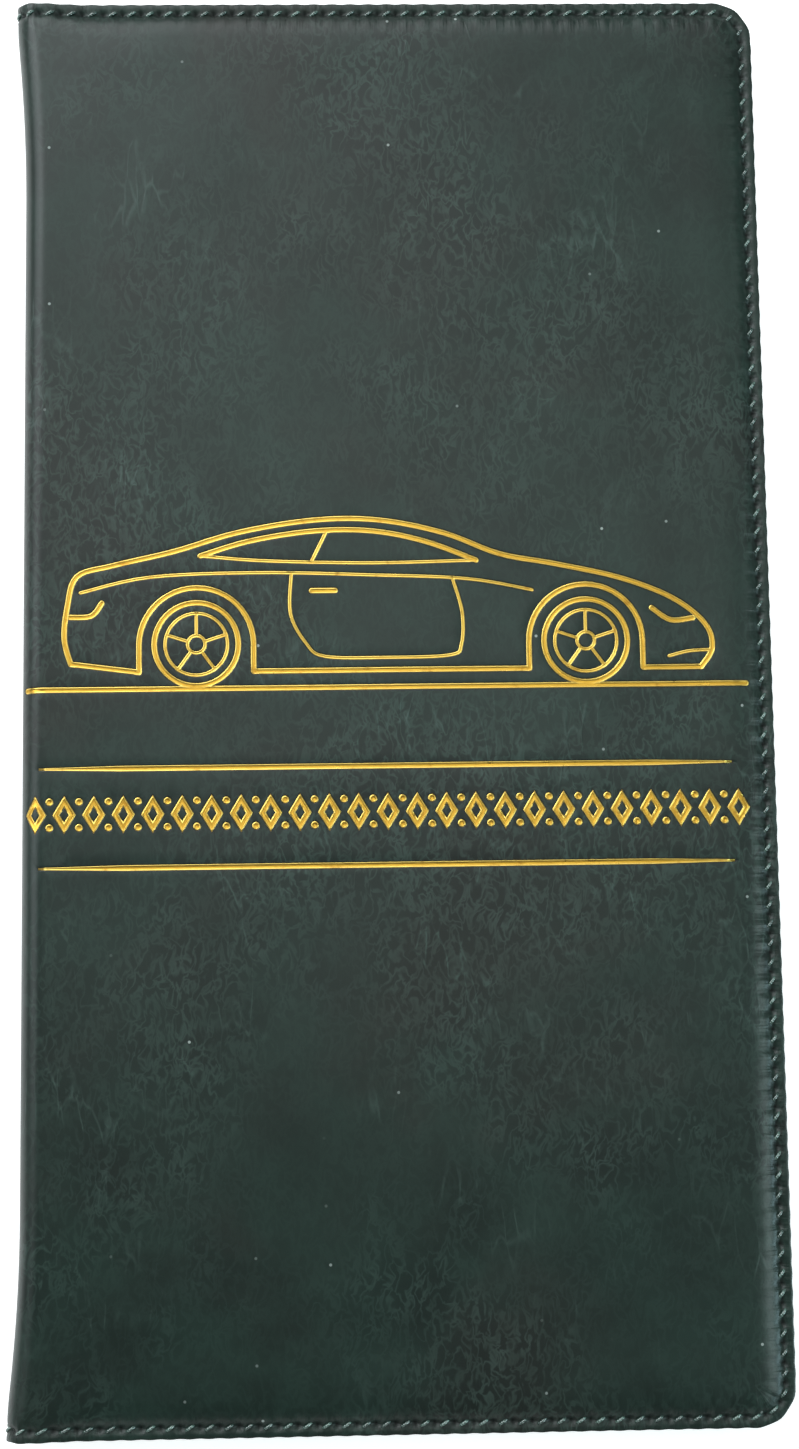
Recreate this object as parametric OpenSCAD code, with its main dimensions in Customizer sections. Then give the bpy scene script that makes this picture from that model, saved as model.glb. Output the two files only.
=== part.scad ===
// Vehicle document wallet: a slim bifold in padded imitation leather, for a
// registration card, an insurance slip and three plastic cards.
// It lies closed on its back cover: +Z is up, +X runs from the spine to the fore edge,
// +Y runs to the head, and the origin is under the middle of the closed wallet.

/* [Closed wallet] */
// Width from the spine to the fore edge
closed_w = 128; // [126:1:140]
// Length from the tail to the head
closed_l = 245; // [240:1:260]
// Thickness when closed and empty
closed_h = 11; // [10.8:0.1:13]
// Radius of the two corners at the fore edge
corner_r = 7; // [6.5:0.5:12]

/* [Layers] */
// Thickness of the outer imitation leather
skin_t = 0.8; // [0.7:0.05:0.9]
// Thickness of the foam padding
foam_t = 0.8; // [0.6:0.1:0.8]
// Thickness of the stiffener board
board_t = 1; // [0.8:0.1:1]
// Thickness of the inner lining
lining_t = 0.4; // [0.3:0.05:0.5]
// Thickness of a pocket panel
panel_t = 0.4; // [0.3:0.05:0.5]
// Thickness of the clear window sheet
clear_t = 0.25; // [0.15:0.05:0.3]

/* [Padded edge] */
// Distance from the cover's edge to the foot of the padding
pad_foot = 2.8; // [2.6:0.1:3.2]
// Distance from the cover's edge to the flat face
pad_crest = 4.5; // [4.2:0.1:4.5]

/* [Creases] */
// Radius of the leather where it rolls from a cover into the spine
fold_r = 4; // [3.6:0.1:4.4]
// Radius of the rolled bead in each crease
bead_r = 0.45; // [0.42:0.01:0.5]
// Running gap between a bead and the cover that turns round it
crease_gap = 0.35; // [0.3:0.05:0.4]

/* [Stitching] */
// Distance from the cover's edge to the seam
seam_inset = 2; // [1.8:0.1:2.2]
// Distance from one stitch to the next
stitch_pitch = 3.2; // [3.2:0.1:6]
// Length of thread that shows in one stitch
stitch_len = 2.2; // [1.6:0.1:2.4]
// Diameter of the thread
thread_d = 0.4; // [0.3:0.05:0.45]

/* [Pockets] */
// Width of the long pockets, from the fore edge to their mouth
pocket_w = 114; // [108:0.5:115]
// Width of the folded hem along a mouth
hem_w = 5; // [4:0.5:6]
// Thickness of the turn in a hem
hem_t = 0.25; // [0.2:0.05:0.3]
// Width of the clear window
window_w = 88; // [80:1:90]
// Length of the clear window
window_l = 217; // [195:1:219]

/* [Card slots] */
// Width of the card slots, for an 85.6 mm card
slot_w = 94; // [92:1:96]
// Depth of the lowest slot
slot_depth = 43; // [40:1:46]
// Step from one slot's mouth to the next
slot_step = 14; // [12:1:16]
// Distance from the tail to the foot of the slots
slot_foot = 11; // [9:1:14]

/* [Magnets] */
// Diameter of each magnet
magnet_d = 10; // [8:1:12]
// Distance from a magnet's centre to the fore edge
magnet_inset = 11; // [11:0.5:14]
// Distance between the two magnets of a cover
magnet_span = 120; // [80:5:160]

/* [Foil] */
// Depth of the stamped recess
stamp_depth = 0.12; // [0.1:0.01:0.2]
// Thickness of the foil film
foil_t = 0.08; // [0.05:0.01:0.1]
// Width of a drawn line
line_w = 0.85; // [0.75:0.05:0.9]

/* [Hidden] */

$fn = 48;
cut = 0.01;               // how far a cutter runs past the face that it cuts

green = "#2f4540";
thread_green = "#24352f";
lining_green = "#26322f";
foam_grey = "#9a9a98";
board_brown = "#9c8a6c";
gold = "#c9a13b";
steel = "#a9adb0";
clear = [0.85, 0.9, 0.92, 0.35];

fore_x = closed_w / 2;
spine_x = -closed_w / 2;
head_y = closed_l / 2;

// heights in one cover, from its outer face inwards
pad_z = skin_t;
board_z = skin_t + foam_t;
rim_z = foam_t + board_t;                   // outer face of the unpadded rim
lining_z = board_z + board_t;
inner_z = lining_z + lining_t;              // inner face of the lining

// the fold: a quarter round by each cover with a flat web between, creased in both rounds
fold_x = spine_x + fold_r;                  // where the fold meets the flat cover
crease_r = fold_r - skin_t / 2;             // the middle of the leather
crease_x = fold_x - crease_r * cos(45);
crease_z = fold_r - crease_r * sin(45);
turn_r = bead_r + crease_gap;
step_w = 0.5;                               // the lining's step down beside the board
board_x = fold_x + step_w;

// slope of the padding, and the same slope on the inside of the leather
pad_run = (pad_crest - pad_foot) / rim_z;
bed_crest = pad_crest + pad_run * (skin_t * sqrt(1 + 1 / pow(pad_run, 2)) - skin_t);
bed_foot = bed_crest - pad_run * (lining_z - pad_z);

mouth_x = fore_x - pocket_w;
slot_x = mouth_x + 10;
slot_y = -head_y + slot_foot;
seam_margin = 1.8;                          // from a panel's edge to its own seam
corner_ease = 0.3;                          // keeps the rounding of a block's corners off its sides
channel_w = thread_d + 0.2;                 // of the seam's channel in the spine

// ---------------------------------------------------------------- shapes

// Outline of a cover, inset from its edge, square at the left and round at the fore edge
function arc(x, y, r, a0, a1, n = 8) =
    [for (i = [0:n]) let (a = a0 + (a1 - a0) * i / n) [x + r * cos(a), y + r * sin(a)]];

module cover_outline(inset, left) {
    r = max(corner_r - inset, 0.4);
    x = fore_x - inset - r;
    y = head_y - inset - r;
    polygon(concat([[left, head_y - inset], [left, -head_y + inset]],
                   arc(x, -y, r, -90, 0), arc(x, y, r, 0, 90)));
}

// A flat layer of a cover
module layer(z, t, inset, left) {
    translate([0, 0, z]) linear_extrude(t) cover_outline(inset, left);
}

// A band of the back cover's quarter round between two angles, the full length of the wallet
module fold_band(outer_r, t, a0, a1) {
    reach = 2 * outer_r;
    translate([fold_x, 0, fold_r]) rotate([90, 0, 0])
        linear_extrude(closed_l, center = true) intersection() {
            difference() {
                circle(outer_r);
                circle(outer_r - t);
            }
            polygon(concat([[0, 0]], [for (i = [0:2])
                let (a = a0 + (a1 - a0) * i / 2) [reach * cos(a), reach * sin(a)]]));
        }
}

// A round bar along the back cover's crease
module crease_bar(r, l = closed_l) {
    translate([crease_x, 0, crease_z]) rotate([90, 0, 0]) cylinder(h = l, r = r, center = true);
}

// The front cover is the back cover turned over
module as_front() {
    translate([0, 0, closed_h]) mirror([0, 0, 1]) children();
}

// ---------------------------------------------------------------- cover layers

// A block whose head, fore edge and tail slope, from one inset at z0 to a smaller one at z1
module sloped_block(z0, z1, crest, foot, left) {
    intersection() {
        translate([left, 0, 0]) rotate([90, 0, 90]) linear_extrude(closed_w)
            polygon([[crest - head_y, z0], [head_y - crest, z0],
                     [head_y - foot, z1], [foot - head_y, z1]]);
        rotate([90, 0, 0]) linear_extrude(closed_l, center = true)
            polygon([[left, z0], [fore_x - crest, z0], [fore_x - foot, z1], [left, z1]]);
        layer(z0, z1 - z0, foot - corner_ease, left);
    }
}

// The padded leather tray, with its rim and its share of the rolled fold
module skin() {
    difference() {
        union() {
            sloped_block(0, rim_z, pad_crest, pad_foot, fold_x);
            layer(rim_z, skin_t, 0, fold_x);
            fold_band(fold_r, skin_t, 225, 270);
        }
        sloped_block(pad_z, lining_z + cut, bed_crest, bed_foot, fold_x - cut);
        crease_bar(turn_r, closed_l + 1);
    }
}

module foam() {
    color(foam_grey) layer(pad_z, foam_t, bed_crest, board_x);
}

module board() {
    color(board_brown) difference() {
        layer(board_z, board_t, pad_crest, board_x);
        magnet_places() translate([0, 0, board_z - cut])
            cylinder(h = board_t + 2 * cut, d = magnet_d);
    }
}

module lining() {
    step_l = closed_l - 2 * pad_crest - 1;
    color(lining_green) union() {
        layer(lining_z, lining_t, 0, fold_x);
        translate([fold_x, -step_l / 2, skin_t])
            cube([step_w, step_l, lining_z - skin_t + cut]);
        difference() {
            fold_band(fold_r - skin_t, lining_t, 225, 270);
            crease_bar(turn_r, closed_l + 1);
        }
    }
}

module magnet_places() {
    for (side = [-1, 1]) translate([fore_x - magnet_inset, side * magnet_span / 2, 0])
        children();
}

module magnets() {
    color(steel) magnet_places() translate([0, 0, board_z]) cylinder(h = board_t, d = magnet_d);
}

// ---------------------------------------------------------------- stitching

// One stitch at a point of a seam: thread lying on the surface at height z, along angle a
module stitch(x, y, z, a) {
    translate([x, y, z]) rotate([0, 90, a]) cylinder(h = stitch_len, d = thread_d, center = true, $fn = 16);
}

// A straight run of stitches from one point to another
module stitch_run(from, to, z) {
    run = to - from;
    n = floor(norm(run) / stitch_pitch);
    a = atan2(run.y, run.x);
    for (i = [0:n - 1]) let (p = from + run * (i + 0.5) / n) stitch(p.x, p.y, z, a);
}

// The seam along a cover's head and tail between two places, at height z
module end_stitches(from, to, z) {
    y = head_y - seam_inset;
    for (side = [-1, 1]) stitch_run([from, side * y], [to, side * y], z);
}

// The seam from a place along the head, round the fore edge and back along the tail
module rim_stitches(from, z) {
    r = corner_r - seam_inset;
    x = fore_x - corner_r;
    y = head_y - corner_r;
    end_stitches(from, x, z);
    for (side = [-1, 1], a = [22.5, 67.5])
        stitch(x + r * cos(a), side * (y + r * sin(a)), z, side * (a + 90));
    stitch_run([x + r, -y], [x + r, y], z);
}

// The whole seam of a cover whose pocket or window is some thickness over the lining
module rim_stitching(over_t) {
    start = fold_x + 1;
    z = inner_z + thread_d / 2;
    color(thread_green) {
        rim_stitches(start, rim_z - thread_d / 2);
        end_stitches(start, mouth_x, z);
        end_stitches(mouth_x, mouth_x + hem_w, z + over_t + hem_t);
        rim_stitches(mouth_x + hem_w, z + over_t);
    }
}

// ---------------------------------------------------------------- pockets

module slip_pocket() {
    color(green) layer(inner_z, panel_t, 0, mouth_x);
}

module mouth_hem(z) {
    color(green) translate([mouth_x, -head_y, z]) cube([hem_w, closed_l, hem_t]);
}

// The seam along the inner edge of a mouth's hem
module mouth_hem_stitches(z) {
    end = head_y - 2 * seam_inset;
    color(thread_green)
        stitch_run([mouth_x + hem_w - 1.2, -end], [mouth_x + hem_w - 1.2, end], z + thread_d / 2);
}

// Card slots are numbered from the lowest, which lies on top of the others
function slot_top(i) = slot_y + slot_depth + i * slot_step;
function slot_z(i) = inner_z + panel_t * (3 - i);

module card_slot(i) {
    color(green) translate([slot_x, slot_y, slot_z(i)])
        cube([slot_w, slot_top(i) - slot_y, panel_t]);
}

module card_slot_hems() {
    color(green) for (i = [0:2]) translate([slot_x, slot_top(i) - 4, slot_z(i) + panel_t])
        cube([slot_w, 4, hem_t]);
}

module card_slot_stitching() {
    left = slot_x + seam_margin;
    right = slot_x + slot_w - seam_margin;
    foot = slot_y + seam_margin;
    color(thread_green) {
        stitch_run([left + 1, foot], [right - 1, foot], slot_z(0) + panel_t + thread_d / 2);
        for (i = [0:2]) {
            from = i == 0 ? foot + 1.5 : slot_top(i - 1) + 0.5;
            to = slot_top(i) - 4.5;
            for (x = [left, right])
                stitch_run([x, from], [x, to], slot_z(i) + panel_t + thread_d / 2);
        }
    }
}

module window_sheet() {
    color(clear) layer(inner_z, clear_t, 0, mouth_x);
}

window_x = (mouth_x + fore_x) / 2 + 0.5;    // middle of the window

module window_hole(grow) {
    r = 4 + grow;
    w = window_w / 2 + grow;
    l = window_l / 2 + grow;
    translate([window_x, 0]) polygon(concat(arc(w - r, l - r, r, 0, 90), arc(r - w, l - r, r, 90, 180),
                                            arc(r - w, r - l, r, 180, 270), arc(w - r, r - l, r, 270, 360)));
}

module window_frame() {
    color(green) translate([0, 0, inner_z + clear_t]) linear_extrude(panel_t) difference() {
        cover_outline(0, mouth_x);
        window_hole(0);
    }
}

module window_stitching() {
    w = window_w / 2 + seam_margin;
    l = window_l / 2 + seam_margin;
    z = inner_z + clear_t + panel_t + thread_d / 2;
    color(thread_green) for (side = [-1, 1]) {
        stitch_run([window_x + side * w, -l + 4], [window_x + side * w, l - 4], z);
        stitch_run([window_x - w + 4, side * l], [window_x + w - 4, side * l], z);
    }
}

// ---------------------------------------------------------------- spine

// The flat web of the spine, at some depth under its outer face
module web(depth, t) {
    translate([spine_x + depth, -head_y, fold_r]) cube([t, closed_l, closed_h - 2 * fold_r]);
}

// The channel that the seam pulls into the leather, over both ends of the spine
module spine_seam_channel() {
    for (side = [-1, 1]) translate([0, side * (head_y - seam_inset), 0]) {
        translate([spine_x - 1, -channel_w / 2, fold_r - cut])
            cube([1 + thread_d, channel_w, closed_h - 2 * fold_r + 2 * cut]);
        for (z = [fold_r, closed_h - fold_r]) translate([fold_x, 0, z])
            rotate([90, 0, 0]) difference() {
                cylinder(h = channel_w, r = fold_r + 1, center = true);
                cylinder(h = channel_w + 1, r = fold_r - thread_d, center = true);
                translate([fold_r - 1, 0, 0]) cube(2 * fold_r + 4, center = true);
            }
    }
}

module spine_skin() {
    color(green) difference() {
        union() {
            web(0, skin_t);
            fold_band(fold_r, skin_t, 180, 225);
            as_front() fold_band(fold_r, skin_t, 180, 225);
            crease_bar(bead_r);
            as_front() crease_bar(bead_r);
        }
        spine_seam_channel();
    }
}

module spine_lining() {
    color(lining_green) difference() {
        union() {
            web(skin_t, lining_t);
            fold_band(fold_r - skin_t, lining_t, 180, 223);
            as_front() fold_band(fold_r - skin_t, lining_t, 180, 223);
        }
        crease_bar(bead_r + cut, closed_l + 1);
        as_front() crease_bar(bead_r + cut, closed_l + 1);
    }
}

// Three stitches over each end of the spine, lying in the seam's channel
module spine_stitching() {
    turn = 24;
    r = fold_r - thread_d / 2;
    color(thread_green) for (side = [-1, 1]) translate([0, side * (head_y - seam_inset), 0]) {
        translate([spine_x + thread_d / 2, 0, closed_h / 2]) spine_stitch();
        translate([fold_x - r * cos(turn), 0, fold_r - r * sin(turn)])
            rotate([0, -turn, 0]) spine_stitch();
        translate([fold_x - r * cos(turn), 0, closed_h - fold_r + r * sin(turn)])
            rotate([0, turn, 0]) spine_stitch();
    }
}

module spine_stitch() {
    cylinder(h = stitch_len * 0.7, d = thread_d, center = true, $fn = 16);
}

// ---------------------------------------------------------------- foil drawing

// A smooth line through points, each stretch a cubic that leaves along its neighbours
function through(p, n = 6) = concat([for (i = [0:len(p) - 2], k = [0:n - 1]) let (
        t = k / n,
        a = p[max(i - 1, 0)],
        b = p[i],
        c = p[i + 1],
        d = p[min(i + 2, len(p) - 1)])
    (2 * b + (c - a) * t + (2 * a - 5 * b + 4 * c - d) * t * t
        + (3 * b - a - 3 * c + d) * t * t * t) / 2], [p[len(p) - 1]]);

function heading(p, i) =
    let (d = p[min(i + 1, len(p) - 1)] - p[max(i - 1, 0)]) atan2(d.y, d.x);

// A point beside a line, off to the left of its heading for a positive distance
function beside(p, i, d) = let (a = heading(p, i)) p[i] + d * [-sin(a), cos(a)];

// A line of some width along points, with round ends
module drawn(p, w = line_w) {
    last = len(p) - 1;
    a = heading(p, 0);
    b = heading(p, last);
    polygon(concat([for (i = [0:last]) beside(p, i, w / 2)],
                   [for (k = [1:3]) p[last] + w / 2 * [cos(b + 90 - 45 * k), sin(b + 90 - 45 * k)]],
                   [for (i = [last:-1:0]) beside(p, i, -w / 2)],
                   [for (k = [1:3]) p[0] + w / 2 * [cos(a - 90 - 45 * k), sin(a - 90 - 45 * k)]]));
}

module ring(r, w = line_w) {
    difference() {
        circle(r + w / 2);
        circle(r - w / 2);
    }
}

art_left = fold_x + 0.4;
art_right = fore_x - pad_crest - 0.5;
fine_w = 0.6 * line_w;
ground_y = 0.8;
wheel_x = [-34.2, 32];
wheel_r = 7.6;
rim_r = 5.3;
hub_r = 1.5;
spokes = 5;
arch_r = 9.7;
axle_y = ground_y + wheel_r;               // the tyre sinks into the ground line
sill_y = ground_y + 2.9;

// A plain two-door car in side view, facing the fore edge
body_line = through([[-55.4, 5.2], [-56.5, 9.5], [-56, 15], [-54.4, 20.2], [-48.5, 22],
                     [-38, 24.4], [-27, 27.6], [-14, 29.6], [-3, 29.5], [8, 27.2], [17.5, 23.5],
                     [27, 21.7], [38, 19.2], [47, 15.6], [52.4, 11.2], [53.6, 7], [51.6, 3.7]]);
glass_line = through([[-33.5, 23.6], [-25, 26.1], [-14, 27.7], [-4, 27.6], [5, 25.7], [13.5, 22.4]]);
glass_foot = through([[-33.5, 23.6], [-22, 22.6], [-4, 22.1], [13.5, 22.4]]);
pillar_line = [[-12, 27.6], [-14.5, 22.6]];
shoulder_line = through([[-53.8, 17.4], [-42, 20], [-24, 20.6], [-4, 20], [12, 19.2], [23, 17.2]]);
door_line = through([[9.4, 19.4], [11, 13.5], [10.8, 8], [8.8, 6.1], [-2, 5.8], [-12.4, 6.1],
                     [-15.6, 8.4], [-18.2, 13.5], [-18, 20.5]]);
handle_line = [[-14.6, 17.4], [-10.6, 17.4]];
head_lamp = through([[50.4, 12.1], [46.6, 11.8], [43.4, 13.9]]);
tail_lamp = through([[-55.6, 13.2], [-52, 13.4], [-50.2, 15.6]]);
bumper_line = through([[53.4, 6.6], [49.6, 6.4], [46.2, 5.6]]);

module car_drawing() {
    drawn([[art_left, ground_y], [art_right, ground_y]]);
    drawn(body_line);
    drawn(glass_line);
    drawn(glass_foot, fine_w);
    drawn(pillar_line, fine_w);
    drawn(shoulder_line, fine_w);
    drawn(door_line, fine_w);
    drawn(handle_line);
    drawn(head_lamp);
    drawn(tail_lamp);
    drawn(bumper_line, fine_w);
    drawn([body_line[0], [wheel_x[0] - arch_r, sill_y]]);
    drawn([[wheel_x[0] + arch_r, sill_y], [wheel_x[1] - arch_r, sill_y]]);
    drawn([[wheel_x[1] + arch_r, sill_y], body_line[len(body_line) - 1]]);
    for (x = wheel_x) translate([x, axle_y]) {
        drawn(concat([[arch_r, sill_y - axle_y]], arc(0, 0, arch_r, 0, 180, 24),
                     [[-arch_r, sill_y - axle_y]]));
        wheel();
    }
}

module wheel() {
    ring(wheel_r - line_w / 2);
    ring(rim_r, fine_w);
    ring(hub_r, fine_w);
    for (i = [0:spokes - 1]) rotate(90 + 360 * i / spokes)
        drawn([[hub_r, 0], [rim_r, 0]], fine_w);
}

// A rule that thins towards both ends
module rule(left, right, y) {
    taper = 14;
    tip = 0.35;
    polygon([[left, y - tip / 2], [left + taper, y - line_w / 2], [right - taper, y - line_w / 2],
             [right, y - tip / 2], [right, y + tip / 2], [right - taper, y + line_w / 2],
             [left + taper, y + line_w / 2], [left, y + tip / 2]]);
}

rule_y = [-12.6, -29.3];

module rules_drawing() {
    for (y = rule_y) rule(art_left, art_right - 3, y);
}

// A border of pierced lozenges with a bead between each pair
border_y = -20.3;
border_h = 6.4;
lozenge_w = 3.9;
lozenges = 24;
lozenge_pitch = (art_right - art_left - lozenge_w) / (lozenges - 1);

module lozenge(size) {
    polygon([[lozenge_w / 2, 0], [0, border_h / 2], [-lozenge_w / 2, 0], [0, -border_h / 2]] * size);
}

module border_drawing() {
    for (i = [0:lozenges - 1])
        translate([art_left + lozenge_w / 2 + i * lozenge_pitch, border_y]) {
            difference() {
                lozenge(1);
                lozenge(0.4);
            }
            if (i < lozenges - 1) translate([lozenge_pitch / 2, 0]) border_beads();
        }
}

module border_beads() {
    for (side = [-1, 1]) translate([0, side * border_h * 0.34]) circle(d = 1.3, $fn = 16);
}

module stamped(depth, t) {
    translate([0, 0, closed_h - depth]) linear_extrude(t) children();
}

// ---------------------------------------------------------------- nodes

module back_skin() { color(green) skin(); }
module front_skin() {
    color(green) difference() {
        as_front() skin();
        stamped(stamp_depth, stamp_depth + cut) {
            car_drawing();
            rules_drawing();
            border_drawing();
        }
    }
}

back_skin();
foam();  // back_foam
board();  // back_board
lining();  // back_lining
magnets();  // back_magnets
rim_stitching(panel_t);  // back_stitching
slip_pocket();
mouth_hem(inner_z + panel_t);  // slip_pocket_hem
mouth_hem_stitches(inner_z + panel_t + hem_t);  // slip_hem_stitching
card_slot(2);  // card_slot_upper
card_slot(1);  // card_slot_middle
card_slot(0);  // card_slot_lower
card_slot_hems();
card_slot_stitching();
spine_skin();
spine_lining();
spine_stitching();
front_skin();
as_front() foam();  // front_foam
as_front() board();  // front_board
as_front() lining();  // front_lining
as_front() magnets();  // front_magnets
as_front() rim_stitching(clear_t + panel_t);  // front_stitching
color(gold) stamped(stamp_depth, foil_t) car_drawing();  // foil_car
color(gold) stamped(stamp_depth, foil_t) rules_drawing();  // foil_rules
color(gold) stamped(stamp_depth, foil_t) border_drawing();  // foil_border
as_front() window_sheet();
as_front() window_frame();
as_front() mouth_hem(inner_z + clear_t + panel_t);  // window_hem
as_front() window_stitching();
as_front() mouth_hem_stitches(inner_z + clear_t + panel_t + hem_t);  // window_hem_stitching
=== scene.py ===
"""A vehicle document wallet: padded imitation leather, stitched edges, stamped gold line art.

Everything is laid out on a developed sheet. "across" runs from the middle of the spine to the fore
edge and "along" runs from the tail to the head, both in millimetres. roll() wraps that sheet round
the spine, so leather, foil, seams and lining share one surface and bend together.
"""

import math
from functools import partial

import bpy
import numpy as np
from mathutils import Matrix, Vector, geometry


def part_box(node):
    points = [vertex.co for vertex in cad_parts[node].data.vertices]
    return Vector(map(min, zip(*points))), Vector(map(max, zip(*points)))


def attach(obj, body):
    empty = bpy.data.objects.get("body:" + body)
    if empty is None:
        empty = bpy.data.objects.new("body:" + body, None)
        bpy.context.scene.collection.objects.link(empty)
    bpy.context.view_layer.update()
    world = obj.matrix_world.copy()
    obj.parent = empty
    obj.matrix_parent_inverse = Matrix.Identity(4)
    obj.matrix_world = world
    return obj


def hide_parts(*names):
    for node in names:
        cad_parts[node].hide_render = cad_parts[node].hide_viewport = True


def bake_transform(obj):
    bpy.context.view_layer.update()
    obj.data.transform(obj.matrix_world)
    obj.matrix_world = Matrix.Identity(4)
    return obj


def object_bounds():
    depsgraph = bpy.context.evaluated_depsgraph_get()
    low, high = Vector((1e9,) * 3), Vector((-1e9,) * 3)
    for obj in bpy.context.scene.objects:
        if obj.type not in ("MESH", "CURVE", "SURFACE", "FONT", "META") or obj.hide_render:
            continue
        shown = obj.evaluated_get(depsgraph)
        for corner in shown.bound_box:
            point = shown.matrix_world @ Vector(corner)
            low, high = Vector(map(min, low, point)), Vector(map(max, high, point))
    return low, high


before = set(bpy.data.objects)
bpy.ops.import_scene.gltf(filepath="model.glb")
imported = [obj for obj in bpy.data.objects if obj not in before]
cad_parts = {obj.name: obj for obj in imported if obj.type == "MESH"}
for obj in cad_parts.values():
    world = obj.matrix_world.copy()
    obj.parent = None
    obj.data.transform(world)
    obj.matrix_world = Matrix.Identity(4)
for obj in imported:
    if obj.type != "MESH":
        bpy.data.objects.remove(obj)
cad_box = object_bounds()

# ---- sizes, in millimetres

MM = 0.001
LOW, HIGH = (np.array(corner) / MM for corner in cad_box)
SPINE_X, FORE_X, HEAD_Y, CLOSED_H = LOW[0], HIGH[0], HIGH[1], HIGH[2]

CORNER_R = 7.0  # corners at the fore edge
FOLD_R = 4.0  # leather rolling from a cover into the spine
SKIN_T = 0.8
RIM_DEPTH = 1.35  # from the crest of the padding down to the stitched rim
FOLD_DEPTH = 0.5  # the same where a cover meets the spine
PAD_FOOT = 2.1  # the padding starts to rise this far from the edge
TURN_IN = 0.45  # how much thicker the leather is at the rim, where it is turned in
INNER_T = 3.0  # from a cover's outer face to its lining
FOLD_INNER_T = 1.2  # the same at the spine, where there is no board
FOLD_X = SPINE_X + FOLD_R
QUARTER = FOLD_R * math.pi / 2
WEB = CLOSED_H - 2 * FOLD_R
MID_SPINE = FOLD_X - QUARTER - WEB / 2

SEAM_INSET = 1.9
SEAM_R = CORNER_R - SEAM_INSET
CORNER_X, CORNER_Y = FORE_X - CORNER_R, HEAD_Y - CORNER_R
SEAM_CORNER_END = CORNER_Y + SEAM_R * math.pi / 2
SEAM_LENGTH = SEAM_CORNER_END + CORNER_X - MID_SPINE  # from the fore edge's middle
STITCHES = 77  # from there to the middle of the spine, which has one of its own
PITCH = SEAM_LENGTH / (STITCHES + 0.5)

HEAD_FLARE = (2.2, 36.0)  # how far the spine's end splays, and over what length
TAIL_FLARE = (2.5, 36.0)
FLARE_WIDTH = 14.0

GAP = 0.02  # between layers that lie on each other
LINING_T = 0.32
PANEL_T = 0.4
CLEAR_T = 0.25
HEM_T = 0.25
HEM_W = 5.0
SLOT_HEM_W = 4.0
HEM_OVER = 0.2  # a hem reaches this far past the mouth
HEM_SEAM = 1.2  # from the hem's inner edge to its seam
PANEL_SEAM = 1.8  # from a panel's edge to its own seam
PANEL_EDGE = 0.3  # a panel's edge lies this far inside the cover's
THREAD_D = 0.54
THREAD_SINK = 0.10  # the outer stitches lie this deep in the leather
SLANT_FORE, SLANT_END, INNER_SLANT = 53, 34, 9  # how far stitches lean, in degrees


def node_box(name):
    """Lowest and highest corner of a CAD node, in millimetres."""
    return tuple(np.array(corner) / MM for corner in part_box(name))


def cover_of(front):
    return "front_cover" if front else "back_cover"


MOUTH_X = node_box("slip_pocket")[0][0]


def smooth(t):
    t = np.clip(t, 0, 1)
    return t * t * (3 - 2 * t)


# ---- the developed sheet

def edge_coords(across, along):
    """Distance from the cover's edge, and distance along the seam from the fore edge's middle."""
    a = np.abs(along)
    dx, dy = across - CORNER_X, a - CORNER_Y
    corner = (dx > 0) & (dy > 0)
    fore = ~corner & (FORE_X - across < HEAD_Y - a)
    inset = np.where(fore, FORE_X - across, HEAD_Y - a)
    inset = np.where(corner, CORNER_R - np.hypot(dx, dy), inset)
    run = np.where(fore, a, SEAM_CORNER_END + CORNER_X - across)
    run = np.where(corner, CORNER_Y + SEAM_R * np.arctan2(np.maximum(dy, 0), np.maximum(dx, 1e-9)), run)
    return inset, run


def on_edge(run, inset):
    """The point at a distance along the seam and from the edge, on the head side."""
    if run < CORNER_Y:
        return FORE_X - inset, run
    if run < SEAM_CORNER_END:
        turn = (run - CORNER_Y) / SEAM_R
        r = CORNER_R - inset
        return CORNER_X + r * math.cos(turn), CORNER_Y + r * math.sin(turn)
    return CORNER_X - (run - SEAM_CORNER_END), HEAD_Y - inset


def fold_turn(across):
    """How far round the roll a point is: 0 on the cover, 1 from the end of the quarter round on."""
    return np.clip((FOLD_X - across) / QUARTER, 0, 1)


def splayed(across, along):
    """How far out the spine's end is splayed."""
    splay = sum(far * np.clip((side * along - HEAD_Y + length) / length, 0, 1) ** 2
                for side, (far, length) in ((1, HEAD_FLARE), (-1, TAIL_FLARE)))
    return splay * smooth((FOLD_X + FLARE_WIDTH - across) / (FLARE_WIDTH + FOLD_R))


def roll(across, along, height, front):
    """The place of a point that stands some height off the outer face, negative for inside."""
    across, along, height = np.broadcast_arrays(across, along, height)
    turn = fold_turn(across) * math.pi / 2
    past = np.maximum(FOLD_X - QUARTER - across, 0)
    r = FOLD_R + height
    x = np.where(across > FOLD_X, across, FOLD_X - r * np.sin(turn))
    up = np.where(across > FOLD_X, height, -FOLD_R + r * np.cos(turn) - past)
    x = x - splayed(across, along)
    z = CLOSED_H + up if front else -up
    return np.stack([x, along, z], -1)


def roll_in(across, along, height, front):
    """roll(), with the height measured inwards."""
    return roll(across, along, -height, front)


def lay(across, along, height, front):
    """The place of a point at some height over a cover's outer face, on the inside."""
    across, along, height = np.broadcast_arrays(across, along, height)
    return np.stack([across, along, CLOSED_H - height if front else height], -1)


def beyond_fold(across):
    """0 at the spine, rising to 1 a little way onto the cover."""
    return smooth((across - FOLD_X + 1) / 9)


def padding(across, along):
    """Height of the leather's outer face, before any stitch or stamp."""
    inset, _ = edge_coords(across, along)
    depth = FOLD_DEPTH + (RIM_DEPTH - FOLD_DEPTH) * beyond_fold(across)
    rise = 1 - np.exp(-np.maximum(inset - PAD_FOOT, 0) ** 1.1 / 1.9)
    sway = (0.09 * np.sin(across / 19 + 1.3) * np.sin(along / 27 + 0.4)
            + 0.05 * np.sin(across / 9.5 + along / 15.0)
            + 0.035 * np.sin(across / 5.2 - along / 7.3 + 2.0))
    inner = smooth((inset - 4) / 12) * smooth((across - FOLD_X) / 8)
    return -depth * (1 - rise) + (sway - 0.12) * inner


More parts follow.
